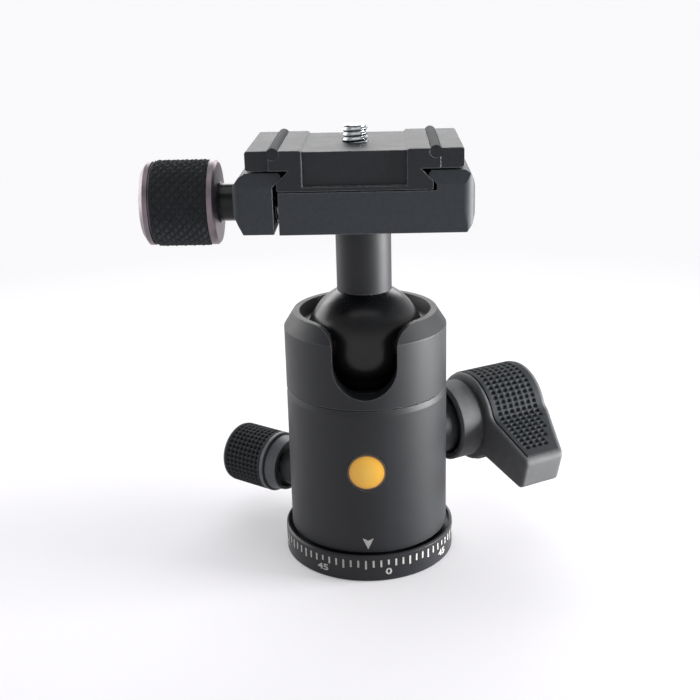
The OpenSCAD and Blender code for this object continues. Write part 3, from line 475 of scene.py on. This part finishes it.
def makeClampKnurl():
    v = clampKnurl
    size = boxSize("clamp_knob_sleeve")
    centre = boxCentre("clamp_knob_sleeve")
    radius = size.z / 2 / mm
    half = size.x / 2 / mm
    place = Matrix.Translation(centre) @ axisFrame("clamp_knob_turn").to_3x3().to_4x4()
    steps = v["steps"]
    columns = v["around"] * steps
    along = round(2 * (half - v["endBevel"]) / v["pitch"]) * steps
    bottom = radius - v["depth"]
    rows = [[radius - v["wall"], -half], [bottom - v["endBevel"] / 2, -half]]
    first = len(rows)
    for r in range(along + 1):
        rows.append([None, (half - v["endBevel"]) * (2 * r / along - 1)])
    last = len(rows) - 1
    rows += [[bottom - v["endBevel"] / 2, half], [radius - v["wall"], half]]
    points = []
    heights = []
    for r, (fixed, z) in enumerate(rows):
        for c in range(columns):
            turn = 2 * math.pi * c / columns
            u, w = c / steps, (r - first) / steps
            tooth = min(triangleWave(u + w), triangleWave(u - w))
            tooth = min(tooth, v["crest"]) / v["crest"] if first < r < last else 0
            reach = bottom + v["depth"] * tooth if fixed is None else fixed
            heights.append(tooth if fixed is None else 0)
            points.append(place @ Vector((reach * math.cos(turn) * mm,
                                          reach * math.sin(turn) * mm, z * mm)))
    faces = []
    for corners in skinFaces(len(rows), columns):
        faces += splitFace(corners, heights)
    knurl = addPiece("clampKnobKnurl", points, faces, "clamp_knob", mouldedRubber,
                     smoothDeg=18)
    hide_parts("clamp_knob_sleeve")


makeClampKnurl()
print("clamp knob knurl")


# The rounded square pits of both rubber grips, in shares of the pitch.
pitShape = {"mouth": 0.4, "floor": 0.2, "steps": 6}


# How much of its depth a pit has at a place given in pitches.
def pitShare(a, b):
    u, w = abs(a % 1.0 - 0.5), abs(b % 1.0 - 0.5)
    reach = (u ** 3 + w ** 3) ** (1 / 3)
    return 1 - smoothStep(pitShape["floor"], pitShape["mouth"], reach)


# Sleeve of the pan lock knob: rings of pits, and a groove beside the outer rim.
panSleeve = {
    "around": 38,     # pits round the knob
    "along": 8,       # rings of pits
    "depth": 0.8,     # mm
    "lip": 0.7,       # mm of plain rubber at the inner end
    "outerLip": 0.75,
    "groove": 0.35,   # mm, depth of the groove beside the outer rim
    "wall": 1.27,
    "corner": 0.2,    # mm, rounding of the inner end
    "slope": 0.1,     # mm, slope into the groove
    "cornerMid": 0.06,  # mm, how far the middle of the rounding lies from both sides
}


def makePanSleeve():
    v = panSleeve
    place = axisFrame("pan_lock_turn")
    inside = place.inverted()
    reach = [(inside @ p.co).z / mm for p in nodes["pan_knob_sleeve"].data.vertices]
    low, high = min(reach), max(reach)
    radius = boxSize("pan_knob_sleeve").z / 2 / mm
    steps = pitShape["steps"]
    columns = v["around"] * steps
    count = v["along"] * steps
    fieldLow, fieldHigh = low + v["lip"], high - v["outerLip"]
    corner, middle = v["corner"], v["cornerMid"]
    rows = [(radius - v["wall"], low), (radius - corner, low), (radius - middle, low + middle),
            (radius, low + corner)]
    first = len(rows)
    for r in range(count + 1):
        rows.append((None, fieldLow + (fieldHigh - fieldLow) * r / count))
    rows += [(radius, high - v["groove"] - v["slope"]), (radius - v["groove"], high - v["groove"]),
             (radius - v["groove"], high), (radius - v["wall"], high)]
    points = []
    for r, (fixed, z) in enumerate(rows):
        for c in range(columns):
            turn = 2 * math.pi * c / columns
            here = fixed
            if fixed is None:
                here = radius - v["depth"] * pitShare(c / steps, (r - first) / steps)
            points.append(place @ Vector((here * math.cos(turn) * mm,
                                          here * math.sin(turn) * mm, z * mm)))
    grip = addPiece("panKnobDimples", points, skinFaces(len(rows), columns), "pan_knob",
                    mouldedRubber, smoothDeg=50)
    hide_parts("pan_knob_sleeve")


makePanSleeve()
print("pan lock knob sleeve")


# The main lock's lever, in mm; its own x runs from the axis to the tip, z out of the body.
leverShape = {
    "lobe": 12.8, "reach": 30, "tipHeight": 9.8, "rootHeight": 11.8, "waist": 5,
    "tipCorner": 1.8, "near": 32.4, "width": 20.1, "slopeFrom": 12.5, "tipWidth": 12.5,
    "rest": 15,        # degrees below level
    "fillet": 0.85,    # radius round both faces
    "border": 1.3,     # frame left round the pad
    "recess": 0.9,
    "bore": 4, "boreEnd": 41.4, "screwHole": 2.05, "web": 2.2, "capHole": 5.02,
    "step": 0.233,     # mesh step along the outline
    "tipSteps": 8, "arcSteps": 6,  # steps up the tip, and the fewest in an arc
    "filletSteps": 4,
    "sideFrom": 0.002,  # share of the side at which its first point lies, clear of the arc's end
    "wallStep": 0.02,  # lets the recess's walls stand on their own ring
    "knee": 0.8,       # share of the way out at which the far face's inner ring lies
    "kneeLimit": 0.93,  # and at most, where it follows the start of the slope
    "kneeCos": 0.5,    # the slope's start counts only this close to the tip's direction
}

# The rubber pad set into the lever.
padShape = {
    "gap": 0.13,       # mm to the frame round it
    "proud": 0.25,     # mm above the frame
    "edge": 0.2, "edgeMid": 0.06,  # rounded edge, and how far its middle lies from both sides
    "plain": 1.15,     # mm without pits at the edges
    "slack": 0.4,      # mm that a pit may reach into that at the slanted side
    "depth": 0.6, "along": 1.6, "across": 2.05,  # of the pits
    "floorGap": 0.03,  # mm above the recess's floor
    "rows": 92,        # mesh rows across the pad
}


# Points and outward normals round the lever, from the tip's middle over the top and back.
def leverOutline():
    v = leverShape
    waistY = v["rootHeight"] / 2 + v["waist"]
    waistX = math.sqrt((v["lobe"] + v["waist"]) ** 2 - waistY ** 2)
    meet = math.atan2(waistY, waistX)
    corner = v["tipCorner"]
    cornerX, tipY = v["reach"] - corner, v["tipHeight"] / 2
    steps = v["tipSteps"]
    upper = [(Vector((v["reach"], (tipY - corner) * i / steps)), Vector((1, 0)), False)
             for i in range(steps)]

    def addArc(x, y, radius, start, end, bulge, inPad):
        count = max(v["arcSteps"], round(abs(end - start) * radius / v["step"]))
        for i in range(count + 1):
            turn = start + (end - start) * i / count
            ray = Vector((math.cos(turn), math.sin(turn)))
            upper.append((Vector((x, y)) + radius * ray, bulge * ray, inPad))

    addArc(cornerX, tipY - corner, corner, 0, math.pi / 2, 1, False)
    start, end = Vector((cornerX, tipY)), Vector((waistX, v["rootHeight"] / 2))
    side = end - start
    normal = Vector((side.y, -side.x)).normalized()
    count = round(side.length / v["step"])
    for i in range(count):
        share = max(v["sideFrom"], i / count)
        upper.append((start + share * side, normal, True))
    addArc(waistX, waistY, v["waist"], -math.pi / 2, meet - math.pi, -1, True)
    upper.pop()
    addArc(0, 0, v["lobe"], meet, math.pi, 1, True)
    mirrored = [(Vector((p.x, -p.y)), Vector((n.x, -n.y)), inPad)
                for p, n, inPad in reversed(upper[1:-1])]
    return upper + mirrored


# Height of the lever's far face, which slants in towards the tip.
def leverFar(x):
    v = leverShape
    slope = (v["width"] - v["tipWidth"]) / (v["reach"] - v["slopeFrom"])
    return v["near"] + v["width"] - slope * max(0.0, x - v["slopeFrom"])


def leverPlace():
    turn = Matrix.Rotation(math.radians(180 + leverShape["rest"]), 4, "Z")
    return axisFrame("lock_turn") @ turn


# One ring round the lever: grown by the outline's normal, from the near face or the far one.
def leverRing(outline, grow, lift, fromFar=False, padGrow=None):
    ring = []
    for p, n, inPad in outline:
        g = padGrow if inPad and padGrow is not None else grow
        q = p + g * n
        z = leverFar(q.x) - lift if fromFar else leverShape["near"] + lift
        ring.append(Vector((q.x, q.y, z)))
    return ring


def makeLever():
    v = leverShape
    outline = leverOutline()
    turns = [math.atan2(p.y, p.x) for p, n, inPad in outline]
    bends = [k * math.pi / (2 * v["filletSteps"]) for k in range(v["filletSteps"] + 1)]
    fillet = [(v["fillet"] * (math.sin(t) - 1), v["fillet"] * (1 - math.cos(t))) for t in bends]
    wallTop = v["border"] + v["wallStep"]
    rings = [leverRing(outline, grow, lift) for grow, lift in fillet]
    rings.append(leverRing(outline, 0, v["border"]))
    rings.append(leverRing(outline, 0, wallTop, padGrow=-v["recess"]))
    rings.append(leverRing(outline, 0, wallTop, True, padGrow=-v["recess"]))
    rings.append(leverRing(outline, 0, v["border"], True))
    rings += [leverRing(outline, grow, lift, True) for grow, lift in reversed(fillet)]
    knee = []
    for (p, n, inPad), turn in zip(outline, turns):
        reach = v["knee"] * p.length
        if math.cos(turn) > v["kneeCos"]:
            reach = min(v["kneeLimit"] * p.length, v["slopeFrom"] / math.cos(turn))
        q = Vector((reach * math.cos(turn), reach * math.sin(turn)))
        knee.append(Vector((q.x, q.y, leverFar(q.x))))
    rings.append(knee)
    top, floor = v["near"] + v["width"], v["boreEnd"] + v["web"]
    for radius, z in ((v["capHole"], top), (v["capHole"], floor), (v["screwHole"], floor),
                      (v["screwHole"], v["boreEnd"]), (v["bore"], v["boreEnd"]),
                      (v["bore"], v["near"])):
        rings.append([Vector((radius * math.cos(t), radius * math.sin(t), z)) for t in turns])
    place = leverPlace()
    points = [place @ (p * mm) for ring in rings for p in ring]
    lever = addPiece("lockLeverBody", points, skinFaces(len(rings), len(outline)), "lock_knob",
                     leverPaint, smoothDeg=30)
    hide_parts("lock_lever")


def makeLeverPad():
    v, pad = leverShape, padShape
    strip = [(p, n) for p, n, inPad in leverOutline() if inPad]
    places = [p for p, n in strip]
    lengths = [0.0]
    for p, q in zip(places, places[1:]):
        lengths.append(lengths[-1] + (q - p).length)
    total, along, across = lengths[-1], pad["along"], pad["across"]
    low = v["near"] + v["border"] + pad["gap"]
    inset = v["border"] + pad["gap"]
    rows, middle, back = pad["rows"], pad["edgeMid"], pad["floorGap"] - v["recess"]

    def farAt(length):
        i = min(len(strip) - 1, bisect.bisect_left(lengths, min(total, max(0.0, length))))
        return leverFar(strip[i][0].x) - inset

    # A pit is moulded only where the whole of it fits inside the plain margin.
    def pitDepth(length, z):
        a, b = (length - total / 2) / along, (z - low - pad["plain"]) / across
        start = math.floor(a) * along + total / 2
        if b < 0 or start < pad["plain"] or start + along > total - pad["plain"]:
            return 0
        top = low + pad["plain"] + (math.floor(b) + 1) * across
        if top > min(farAt(start), farAt(start + along)) - pad["plain"] + pad["slack"]:
            return 0
        return pad["depth"] * pitShare(a, b)

    points = []
    for (p, n), length in zip(strip, lengths):
        drop = pad["edge"] - min(pad["edge"], length, total - length)
        high = leverFar(p.x) - inset
        section = [(back, low), (pad["proud"] - pad["edge"], low),
                   (pad["proud"] - middle - drop, low + middle)]
        for r in range(rows + 1):
            z = low + pad["edge"] + (high - low - 2 * pad["edge"]) * r / rows
            section.append((pad["proud"] - drop - pitDepth(length, z), z))
        section += [(pad["proud"] - middle - drop, high - middle),
                    (pad["proud"] - pad["edge"], high), (back, high)]
        for grow, z in section:
            q = p + grow * n
            points.append(Vector((q.x, q.y, z)))
    around = len(points) // len(strip)
    place = leverPlace()
    faces = skinFaces(len(strip), around, closedRows=False)
    faces.append(tuple(range(around)))
    faces.append(tuple(range(len(points) - around, len(points))))
    grip = addPiece("lockLeverPad", [place @ (p * mm) for p in points], faces, "lock_knob",
                    mouldedRubber, smoothDeg=50)
    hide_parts("lock_grip")


makeLever()
makeLeverPad()
print("lock lever and its pad")


# Camera screw in mm: a quarter-inch thread above a slotted head.
cameraScrew = {
    "radius": 3.175, "pitch": 1.27, "threadDepth": 0.36, "threadFrom": 113.1, "top": 118.25,
    "point": 0.35, "relief": 2.725, "headRadius": 7.575, "headTop": 108.55, "headBottom": 105.55,
    "headEdge": 0.25, "slotWidth": 1.8, "slotDepth": 1.4, "columns": 60, "rowStep": 0.1,
    "topRadius": 1.2,  # ring inside the flat top
}


def threadRadius(z, share):
    v = cameraScrew
    place = (z / v["pitch"] - share) % 1.0
    groove = smoothStep(0.0, 1.0, 1 - triangleWave(place))
    radius = v["radius"] - v["threadDepth"] * groove
    radius = min(radius, v["radius"] - (z - v["top"] + v["point"]))
    fade = smoothStep(v["threadFrom"], v["threadFrom"] + v["pitch"] / 2, z)
    return v["relief"] + (radius - v["relief"]) * fade


def makeCameraScrew():
    v = cameraScrew
    edge = v["headEdge"]
    rows = [(v["headRadius"] - edge, v["headBottom"]), (v["headRadius"], v["headBottom"] + edge),
            (v["headRadius"], v["headTop"] - edge), (v["headRadius"] - edge, v["headTop"]),
            (v["relief"], v["headTop"])]
    count = round((v["top"] - v["threadFrom"]) / v["rowStep"])
    for r in range(count + 1):
        rows.append((None, v["threadFrom"] + (v["top"] - v["threadFrom"]) * r / count))
    rows.append((v["topRadius"], v["top"]))
    centre = Vector(joints["camera_screw_turn"]["pos_m"])
    points = []
    for fixed, z in rows:
        for c in range(v["columns"]):
            share = c / v["columns"]
            reach = threadRadius(z, share) if fixed is None else fixed
            points.append(Vector((centre.x + reach * math.cos(2 * math.pi * share) * mm,
                                  centre.y + reach * math.sin(2 * math.pi * share) * mm, z * mm)))
    faces = skinFaces(len(rows), v["columns"], closedRows=False)
    faces.append(tuple(range(v["columns"])))
    faces.append(tuple(range(len(points) - v["columns"], len(points))))
    mesh = bpy.data.meshes.new("cameraScrewThread")
    mesh.from_pydata([tuple(p) for p in points], [], faces)
    screw = bpy.data.objects.new("cameraScrewThread", mesh)
    scene.collection.objects.link(screw)
    cutSlot(screw, centre)
    dressPiece(screw, "camera_screw", zincPlate, smoothDeg=40)
    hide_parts("camera_screw")


# Cuts the coin slot across the head's underside.
def cutSlot(screw, centre):
    v = cameraScrew
    work = bmesh.new()
    work.from_mesh(screw.data)
    bmesh.ops.recalc_face_normals(work, faces=work.faces)
    work.to_mesh(screw.data)
    work.clear()
    middle = Matrix.Translation((centre.x, centre.y, v["headBottom"] * mm))
    size = (2.2 * v["headRadius"] * mm, v["slotWidth"] * mm, 2 * v["slotDepth"] * mm)
    bmesh.ops.create_cube(work, size=1, matrix=middle @ Matrix.Diagonal((*size, 1)))
    block = bpy.data.objects.new("slotBlock", bpy.data.meshes.new("slotBlock"))
    work.to_mesh(block.data)
    work.free()
    scene.collection.objects.link(block)
    cut = screw.modifiers.new("slot", "BOOLEAN")
    cut.operation = "DIFFERENCE"
    cut.object = block
    cut.solver = "EXACT"
    shaped = screw.evaluated_get(bpy.context.evaluated_depsgraph_get())
    screw.data = bpy.data.meshes.new_from_object(shaped)
    screw.modifiers.clear()
    bpy.data.objects.remove(block)


makeCameraScrew()
print("camera screw")


# Figures of the pan scale, printed below its marks.
scaleFigures = {
    "zero": 13.3,       # degrees to the right of the index arrow
    "labels": {0: "0", 45: "45", -45: "45", 90: "90", -90: "90", 135: "135", -135: "135",
               180: "180"},
    "height": 1.85, "foot": 1.95, "widen": 1.4,
    "bold": 0.022,      # outline grown by, as a share of the type size
    "thickness": 0.05,  # mm of ink
    "extrude": 0.01,    # tells the type's outer face from its inner one
}


def makeScaleFigures():
    v = scaleFigures
    ring = boxSize("scale_ring").x / 2 / mm
    inkedPoints, inkedFaces = [], []
    for turn, label in v["labels"].items():
        curve = bpy.data.curves.new("figure", "FONT")
        curve.body = label
        curve.align_x = "CENTER"
        curve.extrude = v["extrude"]
        curve.offset = v["bold"]
        figure = bpy.data.objects.new("figure", curve)
        scene.collection.objects.link(figure)
        shaped = figure.evaluated_get(bpy.context.evaluated_depsgraph_get())
        flat = bpy.data.meshes.new_from_object(shaped)
        low = min(p.co.y for p in flat.vertices)
        size = v["height"] / (max(p.co.y for p in flat.vertices) - low)
        first = len(inkedPoints)
        for p in flat.vertices:
            angle = math.radians(v["zero"] - 90 + turn) + p.co.x * size * v["widen"] / ring
            reach = ring + (v["thickness"] if p.co.z > 0 else 0.0)
            inkedPoints.append(Vector((reach * math.cos(angle) * mm, reach * math.sin(angle) * mm,
                                       (v["foot"] + (p.co.y - low) * size) * mm)))
        inkedFaces += [tuple(first + i for i in face.vertices) for face in flat.polygons]
        bpy.data.objects.remove(figure)
        bpy.data.meshes.remove(flat)
        bpy.data.curves.remove(curve)
    addPiece("scaleFigures", inkedPoints, inkedFaces, "base", scaleInk)


makeScaleFigures()
print("scale figures")


# Places in mm and angles in degrees; the lens is for a 36 mm wide sensor.
view = {"reach": 283.8, "height": 153.9, "azimuth": 1.07, "pitch": 18.72, "yaw": -0.86,
        "roll": -1.48, "lens": 56.8}


def makeCamera():
    camera = bpy.data.objects.new("camera", bpy.data.cameras.new("camera"))
    scene.collection.objects.link(camera)
    scene.camera = camera
    camera.data.sensor_width = 36
    camera.data.lens = view["lens"]
    camera.data.clip_start = 0.01
    camera.data.clip_end = 20
    pitch, yaw, roll = (math.radians(view[k]) for k in ("pitch", "yaw", "roll"))
    ahead = Vector((math.sin(yaw) * math.cos(pitch), math.cos(yaw) * math.cos(pitch),
                    -math.sin(pitch)))
    level = Vector((math.cos(yaw), -math.sin(yaw), 0))
    up = level.cross(ahead)
    right = math.cos(roll) * level + math.sin(roll) * up
    top = math.cos(roll) * up - math.sin(roll) * level
    turn = Matrix.Rotation(math.radians(view["azimuth"]), 4, "Z")
    aim = Matrix((right, top, -ahead)).transposed().to_4x4()
    place = Vector((0, -view["reach"] * mm, view["height"] * mm))
    camera.matrix_world = turn @ Matrix.Translation(place) @ aim


# Each lamp: place and target in mm, width and height in mm, watts.
lamps = {
    "overhead": {"place": (0, -40, 640), "target": (0, 0, 60), "size": (560, 480), "watts": 0.9},
    "backBox": {"place": (-70, 520, 340), "target": (0, 0, 80), "size": (760, 280),
                "watts": 2.7},
    "rightBox": {"place": (430, -20, 68), "target": (0, 0, 50), "size": (220, 124),
                 "watts": 5.2},
    "leftFill": {"place": (-430, 180, 160), "target": (0, 0, 60), "size": (460, 310),
                 "watts": 1.3},
}


def makeLamps():
    for name, v in lamps.items():
        data = bpy.data.lights.new(name, "AREA")
        data.shape = "RECTANGLE"
        data.size = v["size"][0] * mm
        data.size_y = v["size"][1] * mm
        data.energy = v["watts"]
        lamp = bpy.data.objects.new(name, data)
        scene.collection.objects.link(lamp)
        place, target = Vector(v["place"]) * mm, Vector(v["target"]) * mm
        lamp.location = place
        lamp.rotation_mode = "QUATERNION"
        lamp.rotation_quaternion = (target - place).to_track_quat("-Z", "Y")


# White paper sweep: floor and horizon show white to the camera and in reflections, and the
# room above is dimmer. Sizes are in mm.
backdrop = {"roomHex": "#c9cacd", "roomStrength": 0.6, "whiteHex": "#faf9fb",
            "floorHex": "#cbc9cc", "floorGlow": 0.26, "floorSize": 8000,
            "paperFrom": 120, "paperTo": 380,     # where the paper turns into plain white
            "whiteBelow": 0.3, "dimAbove": 0.62}  # heights in the sky, from 0 to 1


# One where the ray is the camera's, or shines off metal or through glass.
def addSeenMask(tree):
    path = addNode(tree, "ShaderNodeLightPath").outputs
    shine = addNode(tree, "ShaderNodeMath", {"operation": "MAXIMUM"}, {
        0: path["Is Camera Ray"], 1: path["Is Glossy Ray"]})
    through = addNode(tree, "ShaderNodeMath", {"operation": "MAXIMUM"}, {
        0: shine.outputs[0], 1: path["Is Transmission Ray"]})
    return through.outputs[0]


def makeBackdrop():
    v = backdrop
    world = bpy.data.worlds.new("paleRoom")
    world.use_nodes = True
    scene.world = world
    tree = world.node_tree
    tree.nodes.clear()
    room = addNode(tree, "ShaderNodeBackground", None, {
        "Color": toLinear(v["roomHex"]), "Strength": v["roomStrength"]})
    white = addNode(tree, "ShaderNodeBackground", None, {"Color": toLinear(v["whiteHex"])})
    sky = addNode(tree, "ShaderNodeTexCoord").outputs["Generated"]
    height = addNode(tree, "ShaderNodeSeparateXYZ", None, {0: sky}).outputs["Z"]
    low = addNode(tree, "ShaderNodeMapRange", None, {
        "Value": height, "From Min": v["dimAbove"], "From Max": v["whiteBelow"]})
    share = addNode(tree, "ShaderNodeMath", {"operation": "MULTIPLY"}, {
        0: addSeenMask(tree), 1: low.outputs["Result"]})
    mix = addNode(tree, "ShaderNodeMixShader", None, {
        0: share.outputs[0], 1: room.outputs[0], 2: white.outputs[0]})
    addNode(tree, "ShaderNodeOutputWorld", None, {"Surface": mix.outputs[0]})

    half = v["floorSize"] / 2 * mm
    mesh = bpy.data.meshes.new("floor")
    mesh.from_pydata([(-half, -half, 0), (half, -half, 0), (half, half, 0), (-half, half, 0)],
                     [], [(0, 1, 2, 3)])
    floor = bpy.data.objects.new("floor", mesh)
    scene.collection.objects.link(floor)
    paper = bpy.data.materials.new("paperSweep")
    paper.use_nodes = True
    tree = paper.node_tree
    shader = tree.nodes["Principled BSDF"]
    shader.inputs["Base Color"].default_value = toLinear(v["floorHex"])
    shader.inputs["Roughness"].default_value = 0.85
    shader.inputs["Emission Color"].default_value = toLinear(v["whiteHex"])
    seen = addSeenMask(tree)
    glow = addNode(tree, "ShaderNodeMath", {"operation": "MULTIPLY"}, {
        0: seen, 1: v["floorGlow"]})
    tree.links.new(glow.outputs[0], shader.inputs["Emission Strength"])
    coords = addNode(tree, "ShaderNodeTexCoord").outputs["Object"]
    reach = addNode(tree, "ShaderNodeVectorMath", {"operation": "LENGTH"}, {0: coords})
    away = addNode(tree, "ShaderNodeMapRange", {"interpolation_type": "SMOOTHSTEP"}, {
        "Value": reach.outputs["Value"], "From Min": v["paperFrom"] * mm,
        "From Max": v["paperTo"] * mm})
    share = addNode(tree, "ShaderNodeMath", {"operation": "MULTIPLY"}, {
        0: seen, 1: away.outputs["Result"]})
    plain = addNode(tree, "ShaderNodeEmission", None, {"Color": toLinear(v["whiteHex"])})
    mix = addNode(tree, "ShaderNodeMixShader", None, {
        0: share.outputs[0], 1: shader.outputs[0], 2: plain.outputs[0]})
    tree.links.new(mix.outputs[0], tree.nodes["Material Output"].inputs["Surface"])
    mesh.materials.append(paper)


makeCamera()
makeLamps()
makeBackdrop()
scene.view_settings.view_transform = "Standard"
print("camera, lamps and floor")
